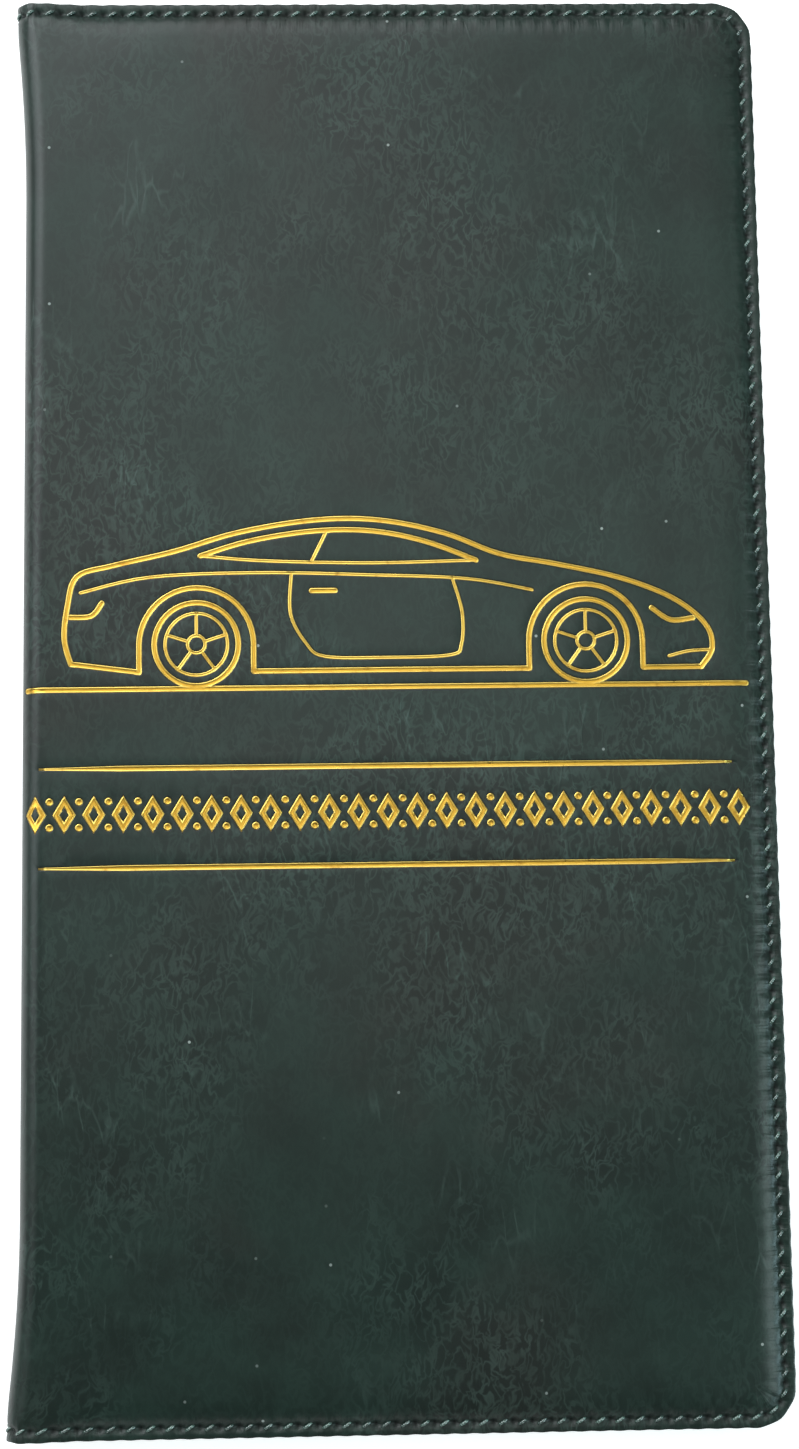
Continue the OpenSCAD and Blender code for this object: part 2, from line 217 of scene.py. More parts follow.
def stitched(across, along):
    """What the seam does to the face: a trough, a bead outside it, puckers and needle holes."""
    inset, run = edge_coords(across, along)
    from_seam = inset - SEAM_INSET
    between = (run / PITCH) % 1
    to_hole = np.minimum(between, 1 - between) * PITCH
    trough = -0.06 * np.exp(-(from_seam / 0.55) ** 2)
    bead = 0.07 * np.exp(-((inset - 0.8) / 0.55) ** 2)
    hole = np.exp(-(to_hole / 0.5) ** 2 - (from_seam / 0.44) ** 2)
    pull = 0.06 * np.exp(-(to_hole / 0.9) ** 2 - (from_seam / 1.2) ** 2)
    uneven = np.sin(run / 2.9 + 1.7 * np.sin(run / 11)) + 0.8 * np.sin(run / 6.3 + along / 21)
    pucker = 0.035 * uneven - 0.055 * np.cos(2 * math.pi * run / PITCH)
    pucker = pucker * np.exp(-((inset - 3.0) / 1.7) ** 2)
    return trough + bead + pucker - 0.55 * hole - pull, hole


# ---- the stamped drawing

LINE_W = 0.95
FINE_W = 0.62 * LINE_W
ART_STEP = 0.9  # between the mesh's points along a line
LIP = 0.22  # width of the rounded lip beside a stamped line
STAMP_DEPTH = 0.16
FILM = 0.03  # the leather lies this far under the foil
ART_LEFT = FOLD_X - 3.3  # the drawing starts on the roll of the spine
ART_RIGHT = FORE_X - 4.8
GROUND_Y = 0.8
WHEEL_X = (-34.2, 32.0)
WHEEL_R, RIM_R, HUB_R, ARCH_R, SPOKES = 7.6, 5.3, 1.5, 9.7, 5
AXLE_Y = GROUND_Y + WHEEL_R
SILL_Y = GROUND_Y + 2.9
RULE_Y = (-12.6, -29.3)
RULE_LEFT, RULE_RIGHT = FOLD_X - 0.7, ART_RIGHT - 2.6
RULE_TAPER, RULE_TIP = 14.0, 0.35
BORDER_Y, BORDER_H = -20.3, 6.4
LOZENGE_W, LOZENGE_HOLE, LOZENGES = 3.9, 0.4, 25
BEAD_R, BEAD_RISE = 0.65, 0.34
FAR_OUT = -9.0  # how deep a point far from every line counts as being inside one


def arc(x, y, r, start, end, n=24):
    turns = np.radians(np.linspace(start, end, n + 1))
    return [(x + r * math.cos(t), y + r * math.sin(t)) for t in turns]


def through(points, n=6):
    """A smooth line through points, each stretch a cubic that leaves along its neighbours."""
    p = [np.array(q, float) for q in points]
    line = []
    for i in range(len(p) - 1):
        a, b, c, d = p[max(i - 1, 0)], p[i], p[i + 1], p[min(i + 2, len(p) - 1)]
        for t in np.arange(n) / n:
            line.append((2 * b + (c - a) * t + (2 * a - 5 * b + 4 * c - d) * t * t
                         + (3 * b - a - 3 * c + d) * t ** 3) / 2)
    return line + [p[-1]]


def resampled(points, step, closed=False):
    """The same line with points about a step apart, its own corners kept."""
    p = np.array(points, float)
    if closed:
        p = np.vstack([p, p[:1]])
    out = []
    for a, b in zip(p[:-1], p[1:]):
        n = max(1, int(round(np.linalg.norm(b - a) / step)))
        out += [a + (b - a) * i / n for i in range(n)]
    return np.array(out if closed else out + [p[-1]])


def car_lines():
    """(points, width) of each line of a plain two-door car in side view."""
    body = through([(-55.4, 5.2), (-56.5, 9.5), (-56, 15), (-54.4, 20.2), (-48.5, 22),
                    (-38, 24.4), (-27, 27.6), (-14, 29.6), (-3, 29.5), (8, 27.2), (17.5, 23.5),
                    (27, 21.7), (38, 19.2), (47, 15.6), (52.4, 11.2), (53.6, 7), (51.6, 3.7)])
    lines = [
        ([(ART_LEFT, GROUND_Y), (ART_RIGHT, GROUND_Y)], LINE_W),
        (body, LINE_W),
        (through([(-33.5, 23.6), (-25, 26.1), (-14, 27.7), (-4, 27.6), (5, 25.7), (13.5, 22.4)]), LINE_W),
        (through([(-33.5, 23.6), (-22, 22.6), (-4, 22.1), (13.5, 22.4)]), FINE_W),
        ([(-12, 27.6), (-14.5, 22.6)], FINE_W),
        (through([(-53.8, 17.4), (-42, 20), (-24, 20.6), (-4, 20), (12, 19.2), (23, 17.2)]), FINE_W),
        (through([(9.4, 19.4), (11, 13.5), (10.8, 8), (8.8, 6.1), (-2, 5.8), (-12.4, 6.1),
                  (-15.6, 8.4), (-18.2, 13.5), (-18, 20.5)]), FINE_W),
        ([(-14.6, 17.4), (-10.6, 17.4)], LINE_W),
        (through([(50.4, 12.1), (46.6, 11.8), (43.4, 13.9)]), LINE_W),
        (through([(-55.6, 13.2), (-52, 13.4), (-50.2, 15.6)]), LINE_W),
        (through([(53.4, 6.6), (49.6, 6.4), (46.2, 5.6)]), FINE_W),
        ([body[0], (WHEEL_X[0] - ARCH_R, SILL_Y)], LINE_W),
        ([(WHEEL_X[0] + ARCH_R, SILL_Y), (WHEEL_X[1] - ARCH_R, SILL_Y)], LINE_W),
        ([(WHEEL_X[1] + ARCH_R, SILL_Y), body[-1]], LINE_W),
    ]
    for x in WHEEL_X:
        lines += [
            ([(x + ARCH_R, SILL_Y)] + arc(x, AXLE_Y, ARCH_R, 0, 180) + [(x - ARCH_R, SILL_Y)], LINE_W),
            (arc(x, AXLE_Y, WHEEL_R - LINE_W / 2, 0, 360, 48), LINE_W),
            (arc(x, AXLE_Y, RIM_R, 0, 360, 40), FINE_W),
            (arc(x, AXLE_Y, HUB_R, 0, 360, 20), FINE_W),
        ]
        for i in range(SPOKES):
            t = math.radians(90 + 360 * i / SPOKES)
            spoke = [(x + r * math.cos(t), AXLE_Y + r * math.sin(t)) for r in (HUB_R, RIM_R)]
            lines.append((spoke, FINE_W))
    return lines


def beside(p, off):
    """A line's points moved sideways."""
    ahead = np.vstack([p[1:], p[-1:]]) - np.vstack([p[:1], p[:-1]])
    if np.linalg.norm(p[0] - p[-1]) < 1e-6:
        ahead[0] = ahead[-1] = p[1] - p[-2]
    ahead /= np.linalg.norm(ahead, axis=1)[:, None]
    return p + off * np.stack([-ahead[:, 1], ahead[:, 0]], -1)


def outline(p, half):
    """The loop or loops at a distance round a line: round ends, or two rings for a closed line."""
    if np.linalg.norm(p[0] - p[-1]) < 1e-6:
        return [beside(p, half)[:-1], beside(p, -half)[:-1]]
    ends = []
    for tip, back in ((p[-1], p[-2]), (p[0], p[1])):
        lead = math.degrees(math.atan2(*(tip - back)[::-1]))
        ends.append(np.array(arc(tip[0], tip[1], half, lead + 90, lead - 90, 6))[1:-1])
    return [np.vstack([beside(p, half), ends[0], beside(p, -half)[::-1], ends[1]])]


def rule_half(across):
    """Half the width of a rule, which thins towards its ends."""
    from_end = np.minimum(across - RULE_LEFT, RULE_RIGHT - across)
    return (RULE_TIP + (LINE_W - RULE_TIP) * np.clip(from_end / RULE_TAPER, 0, 1)) / 2


def lozenge_centres():
    pitch = (ART_RIGHT - ART_LEFT - LOZENGE_W) / (LOZENGES - 1)
    return ART_LEFT + LOZENGE_W / 2 + pitch * np.arange(LOZENGES), pitch


LOZENGE_REACH = (LOZENGE_W * BORDER_H / 4) / math.hypot(LOZENGE_W / 2, BORDER_H / 2)


def lozenge(x, scale):
    w, h = LOZENGE_W / 2 * scale, BORDER_H / 2 * scale
    tips = [(x + w, BORDER_Y), (x, BORDER_Y + h), (x - w, BORDER_Y), (x, BORDER_Y - h)]
    return resampled(tips, ART_STEP, True)


def bead_centres():
    x, pitch = lozenge_centres()
    return [(c + pitch / 2, BORDER_Y + side * BORDER_H * BEAD_RISE) for c in x[:-1] for side in (-1, 1)]


class Drawing:
    """The stamped art: how deep inside a line a point is, and loops for the mesh to follow."""

    def __init__(self):
        self.strokes = [(resampled(p, ART_STEP), w) for p, w in car_lines()]

    def car(self, pts):
        inside = np.full(len(pts), FAR_OUT)
        for line, w in self.strokes:
            a, b = line[:-1], line[1:]
            near = ((pts > line.min(0) - 2) & (pts < line.max(0) + 2)).all(1)
            if not near.any():
                continue
            q = pts[near][:, None]
            ab = b - a
            t = np.clip(((q - a) * ab).sum(-1) / (ab * ab).sum(-1), 0, 1)
            gap = np.linalg.norm(q - a - t[..., None] * ab, axis=-1).min(1)
            inside[near] = np.maximum(inside[near], w / 2 - gap)
        return inside

    def rules(self, pts):
        ends = np.minimum(pts[:, 0] - RULE_LEFT, RULE_RIGHT - pts[:, 0])
        across = [rule_half(pts[:, 0]) - np.abs(pts[:, 1] - y) for y in RULE_Y]
        return np.minimum(np.maximum(*across), ends)

    def border(self, pts):
        inside = np.full(len(pts), FAR_OUT)
        for x in lozenge_centres()[0]:
            s = np.abs(pts[:, 0] - x) / (LOZENGE_W / 2) + np.abs(pts[:, 1] - BORDER_Y) / (BORDER_H / 2)
            inside = np.maximum(inside, np.minimum(1 - s, s - LOZENGE_HOLE) * LOZENGE_REACH)
        for x, y in bead_centres():
            inside = np.maximum(inside, BEAD_R - np.hypot(pts[:, 0] - x, pts[:, 1] - y))
        return inside

    def inside(self, pts):
        return np.maximum(np.maximum(self.car(pts), self.rules(pts)), self.border(pts))

    def loops(self):
        """(points, closed) of every line that the mesh has to follow."""
        found = []
        for line, w in self.strokes:
            for half in (w / 2 + LIP, w / 2, w / 2 - 0.16):
                found += [(loop, True) for loop in outline(line, half)]
            found.append((line, False))
        for y in RULE_Y:
            x = np.arange(RULE_LEFT, RULE_RIGHT, 1.5)
            for grow in (LIP, 0, -0.1):
                half = rule_half(x) + grow
                sides = [np.stack([x, y + half], -1), np.stack([x, y - half], -1)[::-1]]
                found.append((np.vstack(sides), True))
            found.append((np.stack([x, np.full(len(x), y)], -1), False))
        lip, mid = LIP / LOZENGE_REACH, (1 + LOZENGE_HOLE) / 2
        for x in lozenge_centres()[0]:
            for scale in (1 + lip, 1, 1 - lip, mid, LOZENGE_HOLE + lip, LOZENGE_HOLE, LOZENGE_HOLE - lip):
                found.append((lozenge(x, scale), True))
        for x, y in bead_centres():
            for r in (BEAD_R + LIP, BEAD_R, BEAD_R - 0.2):
                found.append((np.array(arc(x, y, r, 0, 360, 14))[:-1], True))
            found.append((np.array([(x, y)]), False))
        return found


def stamp(inside):
    """Height of the foil in a stamped line, and of the leather beside it."""
    return -STAMP_DEPTH * np.sin(math.pi / 2 * np.clip((inside + 0.1) / 0.42, 0, 1)) ** 1.3


# ---- meshes

def triangulate(loops, points):
    """Delaunay triangles of points and loops, every loop kept as edges."""
    verts, edges = [], []
    for line, closed in loops:
        first, n = len(verts), len(line)
        verts += [tuple(p) for p in line]
        edges += [(first + i, first + (i + 1) % n) for i in range(n if closed else n - 1)]
    verts += [tuple(p) for p in points]
    out = geometry.delaunay_2d_cdt([Vector(v) for v in verts], edges, [], 0, 1e-4)
    return np.array([tuple(v) for v in out[0]], float), np.array(out[2], int)


def rim_edges(tris):
    """Edges with one triangle, as (from, to) in that triangle's own direction."""
    sides = np.concatenate([tris[:, [0, 1]], tris[:, [1, 2]], tris[:, [2, 0]]])
    key = np.sort(sides, 1)
    _, first, uses = np.unique(key, axis=0, return_index=True, return_counts=True)
    return sides[first[uses == 1]]


def make_mesh(name, verts, faces, attributes=(), sharp=50):
    """An object from points in millimetres. Attributes are (name, values or vectors per point)."""
    mesh = bpy.data.meshes.new(name)
    mesh.from_pydata((np.asarray(verts) * MM).tolist(), [], [list(map(int, f)) for f in faces])
    for key, values in attributes:
        values = np.asarray(values, np.float32)
        kind = "FLOAT_VECTOR" if values.ndim == 2 else "FLOAT"
        data = mesh.attributes.new(key, kind, "POINT").data
        data.foreach_set("vector" if values.ndim == 2 else "value", values.ravel())
    mesh.shade_smooth()
    mesh.set_sharp_from_angle(angle=math.radians(sharp))
    obj = bpy.data.objects.new(name, mesh)
    bpy.context.scene.collection.objects.link(obj)
    return obj


def slab(name, flat, tris, top, bottom, place, bulge=0.12, extra=(), open_at=None, sharp=50):
    """A closed sheet: triangles at the height top and again at bottom, joined by a rounded edge.

    flat holds the developed points. open_at is where the edge is left square, to meet its other half.
    """
    n = len(flat)
    across, along = flat[:, 0], flat[:, 1]
    verts = [place(across, along, top), place(across, along, bottom)]
    sheet = [flat, flat]
    faces = [tris, tris[:, ::-1] + n]
    edges = rim_edges(tris)
    rim = np.unique(edges)
    out = np.zeros((n, 2))
    step = flat[edges[:, 1]] - flat[edges[:, 0]]
    away = np.stack([step[:, 1], -step[:, 0]], -1)
    np.add.at(out, edges[:, 0], away)
    np.add.at(out, edges[:, 1], away)
    out = out[rim] / np.maximum(np.linalg.norm(out[rim], axis=1), 1e-9)[:, None]
    if open_at is not None:
        out[np.abs(flat[rim, 0] - open_at) < 1e-3] = 0
    index = np.full(n, -1)
    index[rim] = np.arange(len(rim))
    rings, base = [np.arange(n)], 2 * n
    for share in (0.2, 0.5, 0.8):
        moved = flat[rim] + out * bulge * math.sin(math.pi * share)
        height = top[rim] + (bottom[rim] - top[rim]) * share
        verts.append(place(moved[:, 0], moved[:, 1], height))
        sheet.append(moved)
        ring = np.full(n, -1)
        ring[rim] = base + index[rim]
        rings.append(ring)
        base += len(rim)
    rings.append(np.arange(n) + n)
    for upper, lower in zip(rings[:-1], rings[1:]):
        a, b = edges[:, 0], edges[:, 1]
        faces.append(np.stack([upper[b], upper[a], lower[a]], -1))
        faces.append(np.stack([upper[b], lower[a], lower[b]], -1))
    sheet = np.vstack(sheet)
    heights = np.concatenate([top, bottom] + [np.zeros(len(rim))] * 3)
    attributes = [("developed", np.column_stack([sheet, heights]) * MM)]
    for key, values in extra:
        attributes.append((key, np.concatenate([values, np.zeros(n)] + [values[rim]] * 3)))
    return make_mesh(name, np.vstack(verts), np.vstack(faces), attributes, sharp)


def flip(obj):
    obj.data.flip_normals()
    return obj


def developed_of(obj):
    data = obj.data.attributes["developed"].data
    values = np.zeros(len(data) * 3, np.float32)
    data.foreach_get("vector", values)
    return values.reshape(-1, 3).T / MM


def bend(obj):
    """The piece's placing is baked into its mesh; its developed points are read but not used.
    """
    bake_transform(obj)
    across, along, _ = developed_of(obj)
    return obj


# ---- leather covers

EDGE_LOOPS = (0.15, 0.4, 0.75, 1.15, 1.5, 1.75, 1.95, 2.2, 2.55, 2.95, 3.45, 4.1, 4.9, 5.8, 6.7)
LOOP_STEP = PITCH / 6


def edge_loop(inset):
    """The open line round the head, fore edge and tail at a distance from the edge."""
    runs = np.linspace(SEAM_LENGTH, 0, int(SEAM_LENGTH / LOOP_STEP) + 1)
    head = [on_edge(r, inset) for r in runs]
    return np.array(head + [(x, -y) for x, y in head[-2::-1]])


def field_points(first_inset, step, drawing=None):
    """A grid over the field and clear of any drawing, closer where the leather rolls into the spine."""
    xs = np.concatenate([np.linspace(MID_SPINE, FOLD_X + 2, 24), np.arange(FOLD_X + 3, FORE_X, step)])
    ys = np.arange(-HEAD_Y + first_inset, HEAD_Y - first_inset + 0.1, step * 1.2)
    grid = np.stack(np.meshgrid(xs, ys, indexing="ij"), -1).reshape(-1, 2)
    stagger = (np.round((grid[:, 1] + HEAD_Y - first_inset) / (step * 1.2)) % 2) * step * 0.5
    grid[:, 0] += np.where(grid[:, 0] > FOLD_X + 2.5, stagger, 0)
    inset, _ = edge_coords(grid[:, 0], grid[:, 1])
    field = inset > first_inset
    if drawing:
        field &= drawing.inside(grid) < -LIP - 0.35
    return grid[field]


def leather(name, front, nodes, drawing=None):
    """One half of the outer leather, from the middle of the spine to the fore edge."""
    loops = [(edge_loop(d), False) for d in EDGE_LOOPS]
    if drawing:
        loops += drawing.loops()
    flat, tris = triangulate(loops, field_points(EDGE_LOOPS[-1] + 0.7, 1.9, drawing))
    inset, _ = edge_coords(*flat[tris].mean(1).T)
    tris = tris[inset > EDGE_LOOPS[0] + 0.002]
    across, along = flat[:, 0], flat[:, 1]
    base = padding(across, along)
    seam_height, hole = stitched(across, along)
    inside = drawing.inside(flat) if drawing else np.full(len(flat), FAR_OUT)
    under = base + seam_height + stamp(inside)
    top = under - FILM * smooth(inside / 0.15)
    wave = scalloped(flat)
    inset, run = edge_coords(across, along)
    turned = TURN_IN * smooth((5 - inset) / 2) * beyond_fold(across)
    obj = slab(name, wave, tris, top, base - SKIN_T - turned, partial(roll, front=front),
               bulge=0.16, open_at=MID_SPINE, sharp=180,
               extra=[("hole", hole), ("line", np.clip(inside, -1, 1)),
                      ("run", run * MM), ("inset", inset * MM)])
    if not front:
        flip(obj)
    bend(obj)
    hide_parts(*nodes)
    dress(obj, outer)
    return wave, tris, under, top


def scalloped(flat):
    """The developed points, with the outline drawn in a little at each needle hole."""
    inset, run = edge_coords(flat[:, 0], flat[:, 1])
    pull = 0.055 * np.cos(2 * math.pi * run / PITCH) * np.exp(-(inset / 1.1) ** 2)
    x, y = flat[:, 0].copy(), flat[:, 1].copy()
    near_fore = FORE_X - x < CORNER_R
    near_end = HEAD_Y - np.abs(y) < CORNER_R
    x -= pull * near_fore * smooth((CORNER_R - (FORE_X - x)) / 2)
    y -= np.sign(y) * pull * near_end * smooth((CORNER_R - (HEAD_Y - np.abs(y))) / 2)
    x[np.abs(flat[:, 0] - MID_SPINE) < 1e-6] = MID_SPINE
    return np.stack([x, y], -1)


def foil(name, skin, inside, node):
    """A film over the leather wherever the drawing has a line. skin is what leather() returned."""
    flat, tris, top, under = skin
    depth = inside(flat)
    tris = tris[inside(flat[tris].mean(1)) > 0.004]
    used, tris = np.unique(tris, return_inverse=True)
    tris = tris.reshape(-1, 3)
    rim = np.zeros(len(used), bool)
    rim[np.unique(rim_edges(tris))] = True
    n = len(used)
    across, along = flat[used, 0], flat[used, 1]
    upper = roll(across, along, np.where(rim, under[used] + 0.004, top[used]), True)
    lower = roll(across, along, under[used] + 0.002, True)
    second = np.where(rim, np.arange(n), np.arange(n) + n)
    faces = np.vstack([tris, second[tris][:, ::-1]])
    keep, faces = np.unique(faces, return_inverse=True)
    verts = np.vstack([upper, lower])[keep]
    sheet = np.column_stack([np.tile(flat[used], (2, 1)), np.zeros(2 * n)])[keep] * MM
    values = np.tile(np.clip(depth[used], -1, 1), 2)[keep]
    obj = make_mesh(name, verts, faces.reshape(-1, 3), [("developed", sheet), ("line", values)], sharp=180)
    bend(obj)
    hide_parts(node)
    dress(obj, gold)


# ---- seams

def thread(at, heading, slant, length=2.0, diameter=THREAD_D, rise=0.28, sides=8, rings=7):
    """One stitch in developed terms: points (across, along, height) and faces, tips dipping in."""
    lean = heading + slant
    forward, aside = (math.cos(lean), math.sin(lean)), (-math.sin(lean), math.cos(lean))
    verts, faces = [], []
    for i in range(rings):
        t = -1 + 2 * i / (rings - 1)
        r = diameter / 2 * (1 - 0.45 * t ** 4)
        lift = rise * (1 - t * t) - 0.16 * t ** 4
        for k in range(sides):
            a = 2 * math.pi * k / sides + 0.5 * t
            side = r * math.cos(a)
            verts.append((at[0] + forward[0] * t * length / 2 + aside[0] * side,
                          at[1] + forward[1] * t * length / 2 + aside[1] * side,
                          at[2] + lift + r * math.sin(a)))
    for i in range(rings - 1):
        for k in range(sides):
            a, b = i * sides + k, i * sides + (k + 1) % sides
            faces.append((a, b, b + sides, a + sides))
    faces += [tuple(range(sides))[::-1], tuple((rings - 1) * sides + k for k in range(sides))]
    return verts, faces


def seam(name, stitches, place, nodes, mirrored, cover=None):
    """A row of stitches as one piece, its placing baked into the mesh if a cover is named.

    stitches holds (place, heading, slant), and may add a dictionary of thread()'s sizes.
    """
    verts, faces, tone = [], [], []
    for i, (at, heading, slant, *rest) in enumerate(stitches):
        v, f = thread(at, heading, slant, **(rest[0] if rest else {}))
        faces += [[a + len(verts) for a in g] for g in f]
        verts += v
        tone += [math.sin(i * 12.9898) * 0.5 + 0.5] * len(v)
    p = np.array(verts)
    obj = make_mesh(name, place(p[:, 0], p[:, 1], p[:, 2]), faces,
                    [("developed", p * MM), ("tone", tone)], sharp=60)
    if mirrored:
        flip(obj)
    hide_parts(*nodes)
    if cover:
        bend(obj)
    dress(obj, waxed)
    return obj


def slant_at(run):
    """The way that an outer stitch leans: steep on the fore edge, flatter on the head and tail."""
    corner = smooth((run - CORNER_Y) / (SEAM_CORNER_END - CORNER_Y))
    return math.radians(SLANT_FORE - (SLANT_FORE - SLANT_END) * float(corner))


def rim_stitches(height):
    """The seam round a cover. height(across, along) is what the stitches lie on."""
    found = []
    for k in range(STITCHES):
        run = (k + 0.5) * PITCH
        u, v = on_edge(run, SEAM_INSET)
        for side in (1, -1):
            h = float(height(np.array([u]), np.array([side * v]))[0])
            found.append(((u, side * v, h), 0.0, slant_at(run)))
    return found


# ---- inside: lining, pockets, window

PANEL_LOOPS = (0, 0.12, 0.35, 0.8, 1.6, 2.6)
LINING_LOOPS = (0.35, 0.7, 1.5, 2.6)


def rounded(x0, x1, y0, y1, r_left, r_right, inset=0.0, step=1.6):
    """A rounded rectangle as a closed line, drawn in by an inset."""
    x0, x1, y0, y1 = x0 + inset, x1 - inset, y0 + inset, y1 - inset
    rl, rr = max(r_left - inset, 0.05), max(r_right - inset, 0.05)
    corners = [(x1 - rr, y0 + rr, rr, -90, 0), (x1 - rr, y1 - rr, rr, 0, 90),
               (x0 + rl, y1 - rl, rl, 90, 180), (x0 + rl, y0 + rl, rl, 180, 270)]
    points = [p for x, y, r, a, b in corners for p in arc(x, y, r, a, b, 8 if r > 1 else 3)]
    return resampled(points, step, True)


def depth_in(flat, x0, x1, y0, y1, r_left, r_right):
    """Distance inside a rounded rectangle, negative outside."""
    r = np.where(flat[:, 0] > (x0 + x1) / 2, r_right, r_left)
    qx = np.abs(flat[:, 0] - (x0 + x1) / 2) - (x1 - x0) / 2 + r
    qy = np.abs(flat[:, 1] - (y0 + y1) / 2) - (y1 - y0) / 2 + r
    outside = np.hypot(np.maximum(qx, 0), np.maximum(qy, 0))
    return r - outside - np.minimum(np.maximum(qx, qy), 0)


def panel(name, shape, low, high, front, node, look, hole=None, puff=0.0, spacing=3.5, seams=()):
    """A flexible panel on the inside of a cover, with soft edges. shape and hole are rounded()'s.

    look is (slot, material), and the slot is not used. seams holds the distances of its seams from its
    edges.
    """
    loops = [(rounded(*shape, inset=e), True) for e in PANEL_LOOPS]
    grid = np.stack(np.meshgrid(np.arange(shape[0] + 3, shape[1] - PANEL_LOOPS[-1], spacing),
                                np.arange(shape[2] + 3, shape[3] - PANEL_LOOPS[-1], spacing),
                                indexing="ij"), -1).reshape(-1, 2)
    clear = depth_in(grid, *shape) > 3
    if hole:
        loops += [(rounded(*hole, inset=-e), True) for e in PANEL_LOOPS]
        clear &= depth_in(grid, *hole) < -3
    flat, tris = triangulate(loops, grid[clear])
    middle = flat[tris].mean(1)
    keep = depth_in(middle, *shape) > 1e-4
    edge = depth_in(flat, *shape)
    if hole:
        keep &= depth_in(middle, *hole) < -1e-4
        edge = np.minimum(edge, -depth_in(flat, *hole))
    tris = tris[keep]
    soft = np.sqrt(1 - (1 - np.clip(edge / 0.5, 0, 1)) ** 2)
    crown = puff * smooth(edge / 14) * (0.75 + 0.25 * np.sin(flat[:, 0] / 13) * np.sin(flat[:, 1] / 17))
    for at in seams:
        crown = crown - 0.1 * np.exp(-((edge - at) / 0.6) ** 2)
    top = high - (high - low) * 0.45 * (1 - soft) + crown
    obj = slab(name, flat, tris, top, np.full(len(flat), low), partial(lay, front=front),
               bulge=0.06, sharp=55)
    if front:
        flip(obj)
    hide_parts(node)
    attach(obj, cover_of(front))
    dress(obj, look[1])
    return obj


def lining_top(across):
    """How far the lining's face is inside the leather's outer face: it steps down past the board."""
    return FOLD_INNER_T + (INNER_T - FOLD_INNER_T) * smooth((across - FOLD_X + 1.5) / 1.7)


def lining(name, front, nodes):
    """The cloth inside a cover and half the spine."""
    loops = [(edge_loop(d), False) for d in LINING_LOOPS]
    flat, tris = triangulate(loops, field_points(3.4, 3.2))
    inset, _ = edge_coords(*flat[tris].mean(1).T)
    tris = tris[inset > LINING_LOOPS[0] + 0.002]
    across, along = flat[:, 0], flat[:, 1]
    in_fold = smooth((FOLD_X + 7 - across) / 5)
    ripple = in_fold * 0.08 * np.sin(along / 6.1 + 0.6 * np.sin(along / 17)) * np.sin(across / 2.3)
    face = -lining_top(across) + GAP + ripple
    obj = slab(name, flat, tris, face + LINING_T, face, partial(roll, front=front), bulge=0.05,
               open_at=MID_SPINE, sharp=180)
    if not front:
        flip(obj)
    bend(obj)
    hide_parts(*nodes)
    dress(obj, cloth)


# ---- materials

class Graph:
    """Short names for the few kinds of node that the materials use."""

    def __init__(self, name):
        self.mat = bpy.data.materials.new(name)
        self.mat.use_nodes = True
        self.nodes, self.links = self.mat.node_tree.nodes, self.mat.node_tree.links
        self.bsdf = self.nodes["Principled BSDF"]

    def node(self, kind, settings=(), **inputs):
        made = self.nodes.new("ShaderNode" + kind)
        for key, value in dict(settings).items():
            setattr(made, key, value)
        for key, value in inputs.items():
            self.feed(made, key.replace("_", " "), value)
        return made

    def feed(self, node, socket, value):
        target = node.inputs[int(socket[1:])] if socket[0] == "#" else node.inputs[socket]
        if isinstance(value, bpy.types.NodeSocket):
            self.links.new(value, target)
        else:
            target.default_value = value

    def attribute(self, name, output="Vector"):
        return self.node("Attribute", {"attribute_name": name}).outputs[output]

    def noise(self, at, scale, detail=3.0, rough=0.5, distortion=0.0):
        n = self.node("TexNoise", Vector=at, Scale=scale, Detail=detail, Roughness=rough,
                      Distortion=distortion)
        return n.outputs["Fac"]

    def warped(self, at, scale, amount):
        """A vector pushed about by noise."""
        n = self.node("TexNoise", Vector=at, Scale=scale, Detail=2.0)
        away = self.node("VectorMath", {"operation": "SUBTRACT"},
                         **{"#0": n.outputs["Color"], "#1": (0.5, 0.5, 0.5)})
        far = self.node("VectorMath", {"operation": "SCALE"}, Scale=amount, **{"#0": away.outputs[0]})
        both = self.node("VectorMath", {"operation": "ADD"}, **{"#0": at, "#1": far.outputs[0]})
        return both.outputs[0]

    def stretched(self, at, scale, turn=0.0):
        m = self.node("Mapping", Vector=at, Scale=scale, Rotation=(0, 0, math.radians(turn)))
        return m.outputs[0]

    def cells(self, at, scale, feature="F1"):
        n = self.node("TexVoronoi", {"feature": feature}, Vector=at, Scale=scale)
        return n.outputs["Distance"]

    def math(self, operation, a, b=0.0, clamp=False):
        n = self.node("Math", {"operation": operation, "use_clamp": clamp}, **{"#0": a, "#1": b})
        return n.outputs[0]

    def times(self, a, b):
        return self.math("MULTIPLY", a, b)

    def span(self, value, low, high, to_low=0.0, to_high=1.0):
        """A smooth step of a value, from to_low at low to to_high at high."""
        n = self.node("MapRange", {"interpolation_type": "SMOOTHSTEP"}, Value=value,
                      From_Min=low, From_Max=high, To_Min=to_low, To_Max=to_high)
        return n.outputs[0]

    def mix(self, share, a, b):
        n = self.node("Mix", {"data_type": "RGBA"}, **{"#0": share, "#6": a, "#7": b})
        return n.outputs[2]

    def bump(self, height, strength, distance, normal=None):
        n = self.node("Bump", Height=height, Strength=strength, Distance=distance)
        if normal:
            self.links.new(normal, n.inputs["Normal"])
        return n.outputs[0]

    def finish(self, **inputs):
        for key, value in inputs.items():
            self.feed(self.bsdf, key.replace("_", " "), value)
        return self.mat


def rgb(r, g, b):
    """A colour given as it shows on screen, 0 to 255."""
    linear = [((c / 255 + 0.055) / 1.055) ** 2.4 if c > 10 else c / 255 / 12.92 for c in (r, g, b)]
    return (*linear, 1)


LEAN = -24  # the way that most creases run, in degrees


